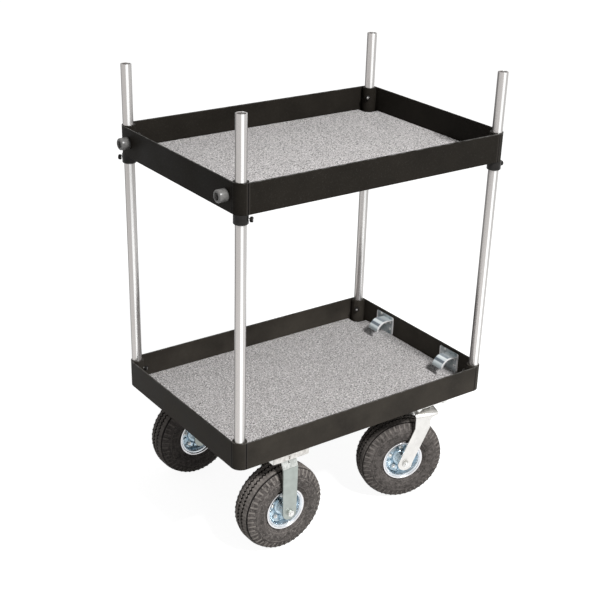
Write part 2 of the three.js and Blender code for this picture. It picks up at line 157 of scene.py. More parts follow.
def choose_faces(piece, test):
    """Select the faces whose middle and normal pass the test."""
    bpy.ops.mesh.select_mode(type="FACE")
    bpy.ops.mesh.select_all(action="DESELECT")
    mesh = bmesh.from_edit_mesh(piece.data)
    for face in mesh.faces:
        face.select_set(bool(test(face.calc_center_median(), face.normal)))
    bmesh.update_edit_mesh(piece.data)


def choose_edges(piece, test):
    """Select the edges whose two ends pass the test."""
    bpy.ops.mesh.select_mode(type="EDGE")
    bpy.ops.mesh.select_all(action="DESELECT")
    mesh = bmesh.from_edit_mesh(piece.data)
    for edge in mesh.edges:
        edge.select_set(bool(test(edge.verts[0].co, edge.verts[1].co)))
    bmesh.update_edit_mesh(piece.data)


def choose_points(piece, test):
    """Select the points whose place passes the test."""
    bpy.ops.mesh.select_mode(type="VERT")
    bpy.ops.mesh.select_all(action="DESELECT")
    mesh = bmesh.from_edit_mesh(piece.data)
    for point in mesh.verts:
        point.select_set(bool(test(point.co)))
    bmesh.update_edit_mesh(piece.data)


def settle(piece):
    """Put the piece's place, turn and size into its mesh."""
    work_on(piece)
    bpy.ops.object.transform_apply(location=True, rotation=True, scale=True)


def place(piece, location, turn=(0, 0, 0)):
    piece.rotation_euler = turn
    piece.location = location
    settle(piece)


def soften_edges(piece, width, segments, angle):
    """Round the sharp edges a little, so that they catch the light."""
    work_on(piece)
    bevel = piece.modifiers.new("Rounded edges", "BEVEL")
    bevel.width = width
    bevel.segments = segments
    bevel.limit_method = "ANGLE"
    bevel.angle_limit = math.radians(angle)
    bpy.ops.object.modifier_apply(modifier=bevel.name)


def smooth(piece, angle):
    work_on(piece)
    bpy.ops.object.shade_smooth_by_angle(angle=math.radians(angle))


def combine(piece, tool, operation):
    """Join, cut or trim the piece with a tool, which is used up."""
    work_on(piece)
    boolean = piece.modifiers.new("Fitted", "BOOLEAN")
    boolean.operation = operation
    boolean.object = tool
    boolean.solver = "EXACT"
    bpy.ops.object.modifier_apply(modifier=boolean.name)
    bpy.data.objects.remove(tool)


def twin(piece):
    copy = piece.copy()
    copy.data = piece.data.copy()
    bpy.context.scene.collection.objects.link(copy)
    return copy


def as_one(pieces):
    """Join several pieces into the first of them."""
    nothing_selected()
    for piece in pieces:
        piece.select_set(True)
    bpy.context.view_layer.objects.active = pieces[0]
    bpy.ops.object.join()
    return pieces[0]


def turned(profile, segments):
    """Pull a ring through [radius, height] stations about Z; a profile that returns closes on itself."""
    nothing_selected()
    (radius, height), *stations = profile
    closed = tuple(profile[0]) == tuple(profile[-1])
    cap = "NOTHING" if closed else "NGON"
    bpy.ops.mesh.primitive_circle_add(
        vertices=segments, radius=radius, location=(0, 0, height), fill_type=cap)
    piece = bpy.context.object
    settle(piece)
    edit(piece)
    bpy.ops.mesh.select_mode(type="EDGE")
    bpy.ops.mesh.select_all(action="SELECT")
    for next_radius, next_height in stations:
        step = (0, 0, next_height - height)
        bpy.ops.mesh.extrude_edges_move(TRANSFORM_OT_translate={"value": step})
        grow = next_radius / radius
        bpy.ops.transform.resize(value=(grow, grow, 1), center_override=(0, 0, 0))
        radius, height = next_radius, next_height
    if not closed:
        bpy.ops.mesh.edge_face_add()
    bpy.ops.mesh.select_all(action="SELECT")
    bpy.ops.mesh.remove_doubles(threshold=1e-6)
    bpy.ops.mesh.normals_make_consistent(inside=False)
    object_mode()
    return piece


def block(low, high):
    """A box between two corners, as the start of a piece."""
    nothing_selected()
    middle = [(a + b) / 2 for a, b in zip(low, high)]
    size = [b - a for a, b in zip(low, high)]
    bpy.ops.mesh.primitive_cube_add(size=1, location=middle, scale=size)
    piece = bpy.context.object
    settle(piece)
    return piece


def copied_solid(node, width, angle=32):
    """A copy of a solid with its faces joined, its bends smoothed and its edges rounded."""
    nothing_selected()
    piece = twin(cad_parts[node])
    piece.parent = None
    for key in list(piece.keys()):
        del piece[key]
    edit(piece)
    bpy.ops.mesh.select_mode(type="VERT")
    bpy.ops.mesh.select_all(action="SELECT")
    bpy.ops.mesh.remove_doubles(threshold=2e-6)
    bpy.ops.mesh.dissolve_limited(angle_limit=math.radians(0.5))
    object_mode()
    if width:
        soften_edges(piece, width, segments=2, angle=angle)
    smooth(piece, angle)
    return piece


def finished(piece, name, body, look, stands_for=()):
    """Name the piece, give it its finish, and set it on the body that carries it."""
    piece.name = name
    piece.data.name = name
    piece.data.materials.clear()
    piece.data.materials.append(look)
    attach(piece, body)
    if stands_for:
        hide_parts(*stands_for)
    return piece


# Building blocks of the finishes
def add_noise(tree, scale, detail, roughness):
    noise = tree.nodes.new("ShaderNodeTexNoise")
    noise.inputs["Scale"].default_value = scale
    noise.inputs["Detail"].default_value = detail
    noise.inputs["Roughness"].default_value = roughness
    return noise


def add_range(tree, source, low, high, out_low=0.0, out_high=1.0):
    """Stretch what lies between low and high to run from out_low to out_high."""
    spread = tree.nodes.new("ShaderNodeMapRange")
    spread.inputs["From Min"].default_value = low
    spread.inputs["From Max"].default_value = high
    spread.inputs["To Min"].default_value = out_low
    spread.inputs["To Max"].default_value = out_high
    tree.links.new(source, spread.inputs["Value"])
    return spread.outputs["Result"]


def add_math(tree, operation, first, second):
    node = tree.nodes.new("ShaderNodeMath")
    node.operation = operation
    for socket, value in zip(node.inputs, (first, second)):
        if isinstance(value, (int, float)):
            socket.default_value = value
        else:
            tree.links.new(value, socket)
    return node.outputs["Value"]


def add_absolute(tree, value):
    return add_math(tree, "ABSOLUTE", value, 0)


def add_distance(tree, value, line):
    """How far a value is from a line, to either side."""
    return add_absolute(tree, add_math(tree, "SUBTRACT", value, line))


def add_mix(tree, factor, first, second):
    mix = tree.nodes.new("ShaderNodeMix")
    mix.data_type = "RGBA"
    for label, value in (("Factor", factor), ("A", first), ("B", second)):
        socket = [s for s in mix.inputs if s.name == label and s.enabled][0]
        if hasattr(value, "is_output"):
            tree.links.new(value, socket)
        else:
            socket.default_value = value
    return [s for s in mix.outputs if s.enabled][0]


def add_layer(tree, colour, mask, layer, share):
    """Cover the colour with a share of a layer where the mask says."""
    return add_mix(tree, add_math(tree, "MULTIPLY", mask, share), colour, layer)


def add_ramp(tree, source, stops):
    """Blend from colour to colour as the source passes each stop."""
    ramp = tree.nodes.new("ShaderNodeValToRGB")
    elements = ramp.color_ramp.elements
    while len(elements) < len(stops):
        elements.new(1.0)
    for element, (position, colour) in zip(elements, stops):
        element.position = position
        element.color = colour
    tree.links.new(source, ramp.inputs["Fac"])
    return ramp.outputs["Color"]


def add_group(tree, group, vector, **values):
    node = tree.nodes.new("ShaderNodeGroup")
    node.node_tree = group
    tree.links.new(vector, node.inputs["Vector"])
    for label, value in values.items():
        node.inputs[label].default_value = value
    return node.outputs[0]


def object_place(tree):
    return tree.nodes.new("ShaderNodeTexCoord").outputs["Object"]


def split_place(tree, where):
    split = tree.nodes.new("ShaderNodeSeparateXYZ")
    tree.links.new(where, split.inputs["Vector"])
    return split.outputs["X"], split.outputs["Y"], split.outputs["Z"]


def relief_mark(tree):
    """The mark from 0 to 1 that a tyre's or a rim's mesh holds for its relief."""
    relief = tree.nodes.new("ShaderNodeAttribute")
    relief.attribute_name = "relief"
    return relief.outputs["Fac"]


# Shader groups: effects that several finishes share
def new_group(name, inputs, output):
    group = bpy.data.node_groups.new(name, "ShaderNodeTree")
    for label, kind, value in [("Vector", "NodeSocketVector", (0, 0, 0)), *inputs]:
        socket = group.interface.new_socket(name=label, in_out="INPUT", socket_type=kind)
        socket.default_value = value
    group.interface.new_socket(name=output, in_out="OUTPUT", socket_type="NodeSocketFloat")
    start = group.nodes.new("NodeGroupInput")
    end = group.nodes.new("NodeGroupOutput")
    return group, start.outputs, end.inputs[output]


def patches_group():
    """Soft cloudy patches, for handling marks and uneven colour."""
    group, given, result = new_group("Cloudy patches", [("Scale", "NodeSocketFloat", 20.0)], "Mask")
    noise = add_noise(group, scale=1, detail=4, roughness=0.6)
    group.links.new(given["Vector"], noise.inputs["Vector"])
    group.links.new(given["Scale"], noise.inputs["Scale"])
    group.links.new(add_range(group, noise.outputs["Fac"], 0.3, 0.7), result)
    return group


def pebble_group():
    """The fine orange-peel bumps of baked powder paint."""
    group, given, result = new_group("Powder pebbles", [("Scale", "NodeSocketFloat", 900.0)], "Height")
    cells = group.nodes.new("ShaderNodeTexVoronoi")
    cells.feature = "SMOOTH_F1"
    group.links.new(given["Vector"], cells.inputs["Vector"])
    group.links.new(given["Scale"], cells.inputs["Scale"])
    group.links.new(cells.outputs["Distance"], result)
    return group


def grain_group():
    """Fine lines drawn along one direction, set by how far each axis is stretched."""
    stretch = ("Stretch", "NodeSocketVector", (900, 900, 8))
    group, given, result = new_group("Drawn grain", [stretch], "Height")
    stretched = group.nodes.new("ShaderNodeVectorMath")
    stretched.operation = "MULTIPLY"
    group.links.new(given["Vector"], stretched.inputs[0])
    group.links.new(given["Stretch"], stretched.inputs[1])
    noise = add_noise(group, scale=1, detail=3, roughness=0.6)
    group.links.new(stretched.outputs["Vector"], noise.inputs["Vector"])
    group.links.new(noise.outputs["Fac"], result)
    return group


def specks_group():
    """Sparse small spots: dust, chips or flecks of yarn."""
    contrast = 12.0
    values = [("Scale", "NodeSocketFloat", 300.0), ("Threshold", "NodeSocketFloat", 0.62)]
    group, given, result = new_group("Specks", values, "Mask")
    noise = add_noise(group, scale=1, detail=2, roughness=0.7)
    group.links.new(given["Vector"], noise.inputs["Vector"])
    group.links.new(given["Scale"], noise.inputs["Scale"])
    above = add_math(group, "SUBTRACT", noise.outputs["Fac"], given["Threshold"])
    limited = group.nodes.new("ShaderNodeClamp")
    group.links.new(add_math(group, "MULTIPLY", above, contrast), limited.inputs["Value"])
    group.links.new(limited.outputs["Result"], result)
    return group


PATCHES = patches_group()
PEBBLES = pebble_group()
GRAIN = grain_group()
SPECKS = specks_group()


# Finishes
def new_look(name, roughness, metallic=0.0):
    look = bpy.data.materials.new(name)
    look.use_nodes = True
    tree = look.node_tree
    shader = tree.nodes["Principled BSDF"]
    shader.inputs["Roughness"].default_value = roughness
    shader.inputs["Metallic"].default_value = metallic
    return look, tree, shader


def set_colour(tree, shader, colour):
    tree.links.new(colour, shader.inputs["Base Color"])


def set_specular(shader, level):
    shader.inputs["Specular IOR Level"].default_value = level


def vary_roughness(tree, shader, source, low, high, roughness):
    """Spread the roughness between two values as the source goes from low to high."""
    smoothest, roughest = roughness
    tree.links.new(add_range(tree, source, low, high, smoothest, roughest), shader.inputs["Roughness"])


def add_bump(tree, shader, height, strength, distance):
    bump = tree.nodes.new("ShaderNodeBump")
    bump.inputs["Strength"].default_value = strength
    bump.inputs["Distance"].default_value = distance
    tree.links.new(height, bump.inputs["Height"])
    tree.links.new(bump.outputs["Normal"], shader.inputs["Normal"])


def add_grain(tree, shader, where, stretch, strength, distance):
    """Roughen the surface with a fine grain, and give the grain's height."""
    grain = add_group(tree, GRAIN, where, Stretch=stretch)
    add_bump(tree, shader, grain, strength, distance)
    return grain


def corner_seam_masks(tree, x, y):
    """The joint where each rounded corner meets a flat wall: a dark line between two lighter strips, painted
    as the highlight along the bend.
    """
    highlight_reach = 0.0050
    joint_reach = 0.0014
    from_long_seam = add_distance(tree, x, TRAY_LENGTH / 2 - TRAY_CORNER)
    from_short_seam = add_distance(tree, y, TRAY_WIDTH / 2 - TRAY_CORNER)
    on_long_wall = add_math(tree, "GREATER_THAN", y, TRAY_WIDTH / 2 - SHEET / 2)
    on_short_wall = add_math(tree, "GREATER_THAN", x, TRAY_LENGTH / 2 - SHEET / 2)
    masks = []
    for reach in (highlight_reach, joint_reach):
        long_wall = add_math(tree, "LESS_THAN", from_long_seam, reach)
        long_wall = add_math(tree, "MULTIPLY", long_wall, on_long_wall)
        short_wall = add_math(tree, "LESS_THAN", from_short_seam, reach)
        short_wall = add_math(tree, "MULTIPLY", short_wall, on_short_wall)
        masks.append(add_math(tree, "MAXIMUM", long_wall, short_wall))
    return masks


def top_edge_highlight(tree, where, x, y, z, tray_z):
    """A painted highlight along the tray's top edge, broken into patches and specks."""
    wall_play = 0.0005
    top = tray_z + TRAY_DEPTH
    top_edge = add_range(tree, z, top - 0.0022, top - 0.0008)
    on_end_wall = add_math(tree, "GREATER_THAN", x, TRAY_LENGTH / 2 - SHEET - wall_play)
    on_side_wall = add_math(tree, "GREATER_THAN", y, TRAY_WIDTH / 2 - SHEET - wall_play)
    on_wall = add_math(tree, "MAXIMUM", on_end_wall, on_side_wall)
    highlight_patches = add_group(tree, PATCHES, where, Scale=45.0)
    highlight_patches = add_math(tree, "MULTIPLY", add_range(tree, highlight_patches, 0.2, 1, 0.0, 0.55), on_wall)
    highlight_specks = add_group(tree, SPECKS, where, Scale=110.0, Threshold=0.66)
    return add_math(tree, "MULTIPLY", top_edge, add_math(tree, "MAXIMUM", highlight_patches, highlight_specks))


def black_powder_look(name, tray_z, dull, fresh):
    """Black powder coat, with a painted highlight along the tray's top edge and painted highlight strips
    beside the dark joint at its corner seams.
    """
    dust_colour = (0.085, 0.080, 0.074, 1)
    seam_highlight_colour = (0.055, 0.050, 0.045, 1)
    joint_colour = (0.006, 0.005, 0.005, 1)
    edge_highlight_colour = (0.26, 0.255, 0.245, 1)
    look, tree, shader = new_look(name, roughness=0.5)
    where = object_place(tree)
    x, y, z = split_place(tree, where)
    x = add_absolute(tree, x)
    y = add_absolute(tree, y)
    patches = add_group(tree, PATCHES, where, Scale=9.0)
    dust = add_group(tree, SPECKS, where, Scale=420.0, Threshold=0.60)
    seam_highlight, joint = corner_seam_masks(tree, x, y)
    colour = add_mix(tree, patches, fresh, dull)
    colour = add_layer(tree, colour, dust, dust_colour, 0.3)
    # Painted highlight strips beside each corner joint
    colour = add_layer(tree, colour, seam_highlight, seam_highlight_colour, 0.45)
    colour = add_mix(tree, joint, colour, joint_colour)
    # Painted highlight along the top edge
    colour = add_mix(tree, top_edge_highlight(tree, where, x, y, z, tray_z), colour, edge_highlight_colour)
    set_colour(tree, shader, colour)
    vary_roughness(tree, shader, patches, 0, 1, (0.44, 0.58))
    pebbles = add_group(tree, PEBBLES, where, Scale=620.0)
    add_bump(tree, shader, pebbles, strength=0.35, distance=0.0002)
    set_specular(shader, 0.04)
    return look


def carpet_look():
    """Grey pile with light and dark flecks of yarn."""
    worn_grey = (0.54, 0.515, 0.51, 1)
    fresh_grey = (0.63, 0.60, 0.595, 1)
    light_yarn = (0.98, 0.95, 0.945, 1)
    dark_yarn = (0.065, 0.06, 0.058, 1)
    look, tree, shader = new_look("Speckled grey carpet", roughness=0.95)
    where = object_place(tree)
    light = add_group(tree, SPECKS, where, Scale=230.0, Threshold=0.50)
    dark = add_group(tree, SPECKS, where, Scale=250.0, Threshold=0.53)
    patches = add_group(tree, PATCHES, where, Scale=14.0)
    colour = add_mix(tree, patches, worn_grey, fresh_grey)
    colour = add_layer(tree, colour, light, light_yarn, 0.95)
    colour = add_layer(tree, colour, dark, dark_yarn, 0.95)
    set_colour(tree, shader, colour)
    pile = add_noise(tree, scale=330, detail=3, roughness=0.7)
    tree.links.new(where, pile.inputs["Vector"])
    add_bump(tree, shader, pile.outputs["Fac"], strength=0.9, distance=0.004)
    shader.inputs["Sheen Weight"].default_value = 0.2
    set_specular(shader, 0.1)
    return look


def across_post(tree, x, y):
    """Place across a post's width seen from the front left: 0 at its left side, 1 at its right."""
    front_left_view = (0.81, -0.586)
    across = 0.5
    for value, spacing, share in zip((x, y), (POST_X, POST_Y), front_left_view):
        side = add_math(tree, "SIGN", value, 0)
        offset = add_math(tree, "SUBTRACT", value, add_math(tree, "MULTIPLY", side, spacing))
        across = add_math(tree, "ADD", across, add_math(tree, "MULTIPLY", offset, share / (2 * POST_RADIUS)))
    return across


def aluminium_look():
    """Drawn tube with painted reflection bands, set by where each point lies across the post as seen from the
    front left: painted shade at the edges, paler sides and one painted highlight stripe.
    """
    streak_colour = (0.52, 0.505, 0.495, 1)
    look, tree, shader = new_look("Drawn aluminium tube", roughness=0.3, metallic=0.8)
    where = object_place(tree)
    x, y, _ = split_place(tree, where)
    # Painted reflection: dark edges and a bright highlight stripe at fixed places across each post
    painted_reflection_bands = add_ramp(tree, across_post(tree, x, y), [
        (0.00, (0.10, 0.095, 0.09, 1)),
        (0.07, (0.16, 0.15, 0.145, 1)),
        (0.15, (0.53, 0.505, 0.49, 1)),
        (0.50, (0.50, 0.475, 0.46, 1)),
        (0.55, (1.0, 0.995, 0.985, 1)),
        (0.72, (1.0, 0.995, 0.985, 1)),
        (0.77, (0.46, 0.445, 0.435, 1)),
        (0.93, (0.50, 0.485, 0.475, 1)),
        (1.00, (0.30, 0.29, 0.28, 1)),
    ])
    streaks = add_group(tree, GRAIN, where, Stretch=(260, 260, 3))
    streaks = add_range(tree, streaks, 0.35, 0.65, 0.0, 0.3)
    set_colour(tree, shader, add_mix(tree, streaks, painted_reflection_bands, streak_colour))
    lines = add_grain(tree, shader, where, (1300, 1300, 14), strength=0.16, distance=0.0001)
    vary_roughness(tree, shader, lines, 0.3, 0.7, (0.2, 0.36))
    return look


# The grain of rolled and plated sheet
SHEET_GRAIN = (260, 260, 220)


def new_zinc(name, light, dark, roughness):
    """Cloudy zinc plating, with its colour left open for more layers."""
    look, tree, shader = new_look(name, roughness, metallic=0.95)
    where = object_place(tree)
    patches = add_group(tree, PATCHES, where, Scale=38.0)
    colour = add_mix(tree, patches, dark, light)
    fine = add_grain(tree, shader, where, SHEET_GRAIN, strength=0.15, distance=0.0003)
    vary_roughness(tree, shader, fine, 0.2, 0.8, (roughness - 0.06, roughness + 0.10))
    return look, tree, shader, where, colour


def zinc_look(name, light, dark, roughness):
    look, tree, shader, _, colour = new_zinc(name, light, dark, roughness)
    set_colour(tree, shader, colour)
    return look


def fixed_fork_look():
    """Legs painted darker than the swivel forks' zinc as shade, under a shoulder and a plate edge painted
    lighter as highlights, with a painted shade line at each bend.
    """
    leg_light = (0.40, 0.435, 0.41, 1)
    leg_dark = (0.32, 0.35, 0.33, 1)
    shoulder_highlight_light = (0.80, 0.81, 0.78, 1)
    shoulder_highlight_dark = (0.36, 0.38, 0.36, 1)
    edge_highlight_light = (0.72, 0.70, 0.67, 1)
    edge_highlight_dark = (0.42, 0.405, 0.385, 1)
    bend_shade_colour = (0.16, 0.17, 0.16, 1)
    blend = 0.001
    look, tree, shader, where, colour = new_zinc("Zinc fork with painted shade and highlights", leg_light, leg_dark, 0.36)
    _, _, height = split_place(tree, where)
    clouds = add_group(tree, PATCHES, where, Scale=95.0)
    shoulder = add_mix(tree, clouds, shoulder_highlight_dark, shoulder_highlight_light)
    plate_edge_highlight = add_mix(tree, clouds, edge_highlight_dark, edge_highlight_light)
    # Painted highlights on the shoulder and on the plate edge
    for start, layer in ((SHOULDER_START, shoulder), (PLATE_EDGE_BOTTOM, plate_edge_highlight)):
        above = add_range(tree, height, start - blend, start + blend)
        colour = add_mix(tree, above, colour, layer)
    # Painted shade along each bend
    for bend in (SHOULDER_START, PLATE_EDGE_BOTTOM):
        line = add_range(tree, add_distance(tree, height, bend), 0.0012, 0.0004, 0.0, 0.55)
        colour = add_mix(tree, line, colour, bend_shade_colour)
    set_colour(tree, shader, colour)
    return look


def black_steel_look():
    worn_black = (0.03, 0.028, 0.026, 1)
    deep_black = (0.012, 0.011, 0.011, 1)
    look, tree, shader = new_look("Black oxide steel", roughness=0.36, metallic=0.1)
    where = object_place(tree)
    patches = add_group(tree, PATCHES, where, Scale=60.0)
    set_colour(tree, shader, add_mix(tree, patches, deep_black, worn_black))
    add_grain(tree, shader, where, (700, 700, 500), strength=0.3, distance=0.0003)
    set_specular(shader, 0.14)
    return look


def tyre_look(name, dust_and_light):
    """Rubber with painted shade in its grooves and paler scuffed lugs; the last argument sets how much dust,
    scuffing and painted light a wheel gets, 1 on the front fixed wheel, which is painted lit.
    """
    dark_rubber = (0.050, 0.045, 0.042, 1)
    pale_rubber = (0.170, 0.152, 0.143, 1)
    scuff_colour = (0.40, 0.365, 0.335, 1)
    dust_colour = (0.30, 0.275, 0.255, 1)
    groove_shade_colour = (0.006, 0.005, 0.005, 1)
    look, tree, shader = new_look(name, roughness=0.8)
    where = object_place(tree)
    height = relief_mark(tree)
    patches = add_group(tree, PATCHES, where, Scale=80.0)
    dust = add_group(tree, SPECKS, where, Scale=210.0, Threshold=0.54)
    worn = add_group(tree, PATCHES, where, Scale=45.0)
    worn = add_range(tree, worn, 0, 1, 0.15 * dust_and_light, 0.95 * dust_and_light)
    scuffed = add_math(tree, "MULTIPLY", add_range(tree, height, 0.5, 1.0), worn)
    colour = add_mix(tree, patches, dark_rubber, pale_rubber)
    colour = add_mix(tree, scuffed, colour, scuff_colour)
    colour = add_layer(tree, colour, dust, dust_colour, 0.6 * dust_and_light)
    # Painted shade: the grooves are darkened to near black
    colour = add_mix(tree, add_range(tree, height, 0.5, 0.1), colour, groove_shade_colour)
    set_colour(tree, shader, colour)
    vary_roughness(tree, shader, patches, 0, 1, (0.66, 0.86))
    add_grain(tree, shader, where, (800, 800, 800), strength=0.3, distance=0.0004)
    set_specular(shader, 0.08)
    return look


def rim_look():
    """Blue zinc, with cloudy light and dark blue in the dish painted as reflection, and a whiter rolled edge
    painted as its highlight.
    """
    reflection_blue_dark = (0.20, 0.30, 0.37, 1)
    reflection_blue_light = (0.66, 0.78, 0.86, 1)
    rolled_edge = (0.74, 0.735, 0.75, 1)
    look, tree, shader = new_look("Blue zinc rim with painted reflections", roughness=0.18, metallic=0.95)
    where = object_place(tree)
    patches = add_group(tree, PATCHES, where, Scale=55.0)
    dish = add_mix(tree, patches, reflection_blue_dark, reflection_blue_light)
    # Painted highlight on the rolled edge
    set_colour(tree, shader, add_mix(tree, relief_mark(tree), dish, rolled_edge))
    fine = add_grain(tree, shader, where, SHEET_GRAIN, strength=0.2, distance=0.0004)
    vary_roughness(tree, shader, fine, 0.2, 0.8, (0.12, 0.30))
    return look


def painted_hood_reflections(tree, x, z):
    """Painted reflection bands along a hood, which bends down as it leaves the wall; x is the distance from X
    = 0.
    """
    bend_start, bend_end = -0.033, 0.034
    out = add_math(tree, "SUBTRACT", WALL_INSIDE, x)
    up = add_math(tree, "SUBTRACT", z, BRACKET_Z)
    along = add_range(tree, add_math(tree, "SUBTRACT", out, up), bend_start, bend_end)
    return add_ramp(tree, along, [
        (0.00, (0.80, 0.86, 0.88, 1)),
        (0.14, (0.22, 0.26, 0.29, 1)),
        (0.26, (0.16, 0.20, 0.23, 1)),
        (0.34, (0.95, 1.0, 1.0, 1)),
        (0.50, (0.70, 0.77, 0.80, 1)),
        (0.56, (0.07, 0.09, 0.12, 1)),
        (0.70, (0.10, 0.13, 0.16, 1)),
        (0.76, (0.78, 0.84, 0.86, 1)),
        (0.90, (0.50, 0.56, 0.58, 1)),
    ])


def bracket_look():
    """Polished zinc with cloudy tone that also stands for painted reflections, painted reflection bands on
    the hood and a painted highlight along the front and back edges.
    """
    cloud_and_reflection_dark = (0.24, 0.30, 0.32, 1)
    cloud_and_reflection_light = (0.88, 0.94, 0.96, 1)
    painted_edge_highlight = (1.0, 1.0, 1.0, 1)
    plate_reach = 0.005
    look, tree, shader = new_look("Polished zinc plate", roughness=0.16, metallic=0.25)
    where = object_place(tree)
    x, y, z = split_place(tree, where)
    x = add_absolute(tree, x)
    patches = add_group(tree, PATCHES, where, Scale=34.0)
    colour = add_mix(tree, patches, cloud_and_reflection_dark, cloud_and_reflection_light)
    on_hood = add_math(tree, "LESS_THAN", x, WALL_INSIDE - plate_reach)
    # Painted reflection bands on the hood
    colour = add_layer(tree, colour, on_hood, painted_hood_reflections(tree, x, z), 0.9)
    # Painted highlight along the bracket's front and back edges
    across = add_distance(tree, add_absolute(tree, y), BRACKET_Y)
    edge = add_range(tree, across, BRACKET_WIDTH / 2 - 0.0048, BRACKET_WIDTH / 2 - 0.0030)
    set_colour(tree, shader, add_mix(tree, edge, colour, painted_edge_highlight))
    fine = add_grain(tree, shader, where, SHEET_GRAIN, strength=0.15, distance=0.0003)
    vary_roughness(tree, shader, fine, 0.2, 0.8, (0.10, 0.26))
    return look


def bumper_look():
    dark_grey = (0.115, 0.112, 0.109, 1)
    light_grey = (0.20, 0.196, 0.190, 1)
    look, tree, shader = new_look("Grey bumper rubber", roughness=0.3)
    where = object_place(tree)
    patches = add_group(tree, PATCHES, where, Scale=90.0)
    set_colour(tree, shader, add_mix(tree, patches, dark_grey, light_grey))
    vary_roughness(tree, shader, patches, 0, 1, (0.26, 0.36))
    add_grain(tree, shader, where, (900, 900, 900), strength=0.15, distance=0.0003)
    return look


# The lower tray's copy of the coat is lighter than the upper tray's
LOWER_BLACK_POWDER = black_powder_look(
    "Lighter black powder coat, lower tray", LOWER_TRAY_Z,
    dull=(0.060, 0.053, 0.044, 1), fresh=(0.034, 0.030, 0.0255, 1))
UPPER_BLACK_POWDER = black_powder_look(
    "Black powder coat, upper tray", UPPER_TRAY_Z,
    dull=(0.0205, 0.0178, 0.0145, 1), fresh=(0.0137, 0.0120, 0.0098, 1))
CARPET_PILE = carpet_look()
ALUMINIUM = aluminium_look()
BRIGHT_ZINC = zinc_look(
    "Bright zinc plate", light=(0.74, 0.73, 0.705, 1), dark=(0.62, 0.61, 0.59, 1), roughness=0.3)
PLATED_STEEL = zinc_look(
    "Plated steel fastener", light=(0.84, 0.84, 0.82, 1), dark=(0.62, 0.62, 0.61, 1), roughness=0.28)
FORK_ZINC = fixed_fork_look()
BRACKET_ZINC = bracket_look()
RIM_ZINC = rim_look()
BLACK_STEEL = black_steel_look()
# Lit and shaded copies: the front fixed wheel's tyre is painted lighter with more dust and scuffs, and the
# other tyres are painted as shaded
LIT_DUSTY_TYRE_RUBBER = tyre_look("Dusty tyre rubber, painted lit", dust_and_light=1.0)
TYRE_RUBBER = tyre_look("Tyre rubber", dust_and_light=0.55)
BUMPER_RUBBER = bumper_look()


# Trays: a folded pan with a welded tube in each corner
def rounded_pan(z):
    piece = block((-TRAY_LENGTH / 2, -TRAY_WIDTH / 2, z), (TRAY_LENGTH / 2, TRAY_WIDTH / 2, z + TRAY_DEPTH))
    edit(piece)
    choose_edges(piece, lambda a, b: abs(a.z - b.z) > TRAY_DEPTH / 2)
    bpy.ops.mesh.bevel(offset=TRAY_CORNER, segments=10, affect="EDGES")
    object_mode()
    return piece


def hollow_pan(piece):
    edit(piece)
    choose_faces(piece, lambda middle, normal: normal.z > 0.9)
    bpy.ops.mesh.inset(thickness=SHEET)
    depth = SHEET - TRAY_DEPTH
    bpy.ops.mesh.extrude_region_move(TRANSFORM_OT_translate={"value": (0, 0, depth)})
    object_mode()


def tray(z, body, name, open_below, paint):
    sunk = 0.001
    overcut = 0.002
    outline = rounded_pan(z)
    pan = twin(outline)
    hollow_pan(pan)
    bore_bottom = z - overcut if open_below else z + SHEET
    for corner in CORNERS:
        socket = turned([(SOCKET_RADIUS, z + sunk), (SOCKET_RADIUS, z + TRAY_DEPTH)], segments=48)
        place(socket, post_place(corner, 0))
        combine(socket, twin(outline), "INTERSECT")
        combine(pan, socket, "UNION")
        bore = turned([(SOCKET_BORE, bore_bottom), (SOCKET_BORE, z + TRAY_DEPTH + overcut)], segments=48)
        place(bore, post_place(corner, 0))
        combine(pan, bore, "DIFFERENCE")
    bpy.data.objects.remove(outline)
    soften_edges(pan, width=0.0006, segments=2, angle=40)
    smooth(pan, angle=30)
    finished(pan, name + "_pan", body, paint, (name,))
    welds = socket_welds(z)
    finished(welds, name + "_welds", body, paint)


def socket_welds(z):
    """Rounded beads in the creases between the corner tubes and the tray's walls."""
    bead_radius = 0.0024
    end_radius = bead_radius * 0.6
    taper = 0.002
    low = z + SHEET + CARPET + 0.001
    high = z + TRAY_DEPTH - 0.003
    wall_x = TRAY_LENGTH / 2 - SHEET - POST_X
    wall_y = TRAY_WIDTH / 2 - SHEET - POST_Y
    creases = (
        (wall_x, -math.sqrt(SOCKET_RADIUS ** 2 - wall_x ** 2)),
        (-math.sqrt(SOCKET_RADIUS ** 2 - wall_y ** 2), wall_y),
    )
    beads = []
    for sign_x, sign_y in CORNERS.values():
        for out_x, out_y in creases:
            bead = turned([
                (end_radius, low),
                (bead_radius, low + taper),
                (bead_radius, high - taper),
                (end_radius, high),
            ], segments=12)
            place(bead, (sign_x * (POST_X + out_x), sign_y * (POST_Y + out_y), 0))
            beads.append(bead)
    welds = as_one(beads)
    smooth(welds, angle=50)
    return welds


